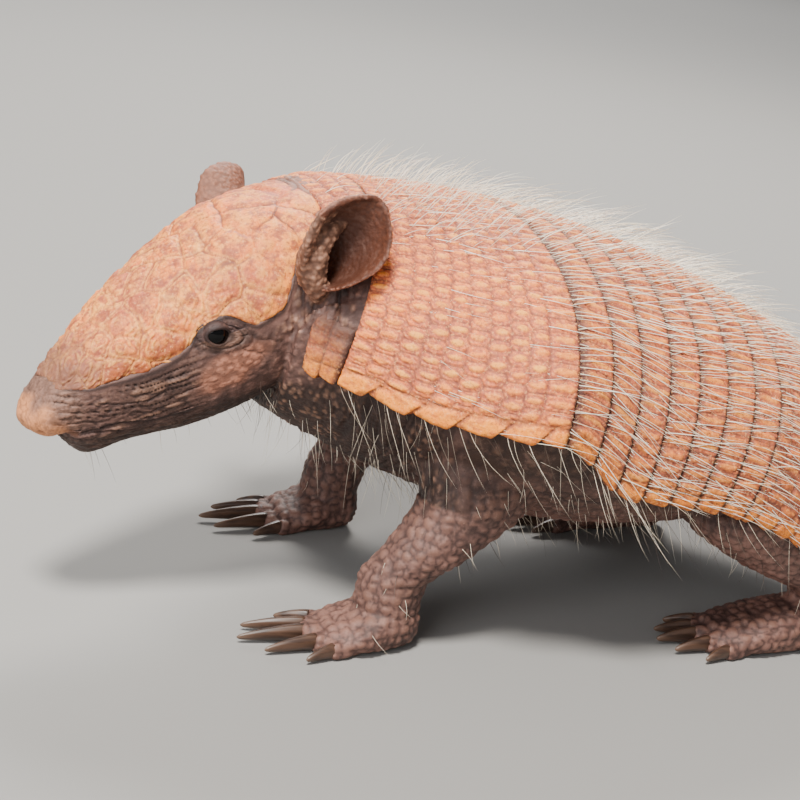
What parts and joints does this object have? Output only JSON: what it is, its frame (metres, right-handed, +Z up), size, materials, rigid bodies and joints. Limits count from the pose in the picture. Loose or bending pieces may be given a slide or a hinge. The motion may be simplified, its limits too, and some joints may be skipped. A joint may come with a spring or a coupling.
{
  "type": "life-size armadillo model",
  "caption": "Still, life-size armadillo standing on all fours: banded shell over back and head, bare skin, bristles, clawed feet and a tapering tail.",
  "frame": {"origin": "on the floor, under the middle of the animal's box", "axes": "+Z up; the animal faces -X with its left side towards -Y, and its tail points towards +X"},
  "size_m": [0.5118, 0.1944, 0.1581],
  "materials": {
    "shell": "horny bone plates, satin",
    "skin": "bare wrinkled skin",
    "horn": "smooth horn",
    "eye": "wet gloss",
    "bristle": "stiff pale hair"
  },
  "bodies": {
    "root": {"band_1": "shell", "band_2": "shell", "band_3": "shell", "band_4": "shell", "band_5": "shell", "band_6": "shell", "band_7": "shell", "ear_left": "skin", "ear_right": "skin", "eye_left": "eye", "eye_right": "eye", "forearm_left": "skin", "forearm_right": "skin", "forefoot_left": "skin", "forefoot_left_claw_1": "horn", "forefoot_left_claw_2": "horn", "forefoot_left_claw_3": "horn", "forefoot_left_claw_4": "horn", "forefoot_left_claw_5": "horn", "forefoot_right": "skin", "forefoot_right_claw_1": "horn", "forefoot_right_claw_2": "horn", "forefoot_right_claw_3": "horn", "forefoot_right_claw_4": "horn", "forefoot_right_claw_5": "horn", "foreleg_left": "skin", "foreleg_right": "skin", "head": "skin", "head_shield": "shell", "hindfoot_left": "skin", "hindfoot_left_claw_1": "horn", "hindfoot_left_claw_2": "horn", "hindfoot_left_claw_3": "horn", "hindfoot_left_claw_4": "horn", "hindfoot_left_claw_5": "horn", "hindfoot_right": "skin", "hindfoot_right_claw_1": "horn", "hindfoot_right_claw_2": "horn", "hindfoot_right_claw_3": "horn", "hindfoot_right_claw_4": "horn", "hindfoot_right_claw_5": "horn", "jaw": "skin", "neck": "skin", "neck_band": "shell", "neck_band_left": "shell", "neck_band_right": "shell", "rump_shield": "shell", "shank_left": "skin", "shank_right": "skin", "shoulder_shield": "shell", "tail_base": "shell", "tail_middle": "shell", "tail_tip": "shell", "thigh_left": "skin", "thigh_right": "skin", "trunk": "skin"}
  },
  "joints": []
}
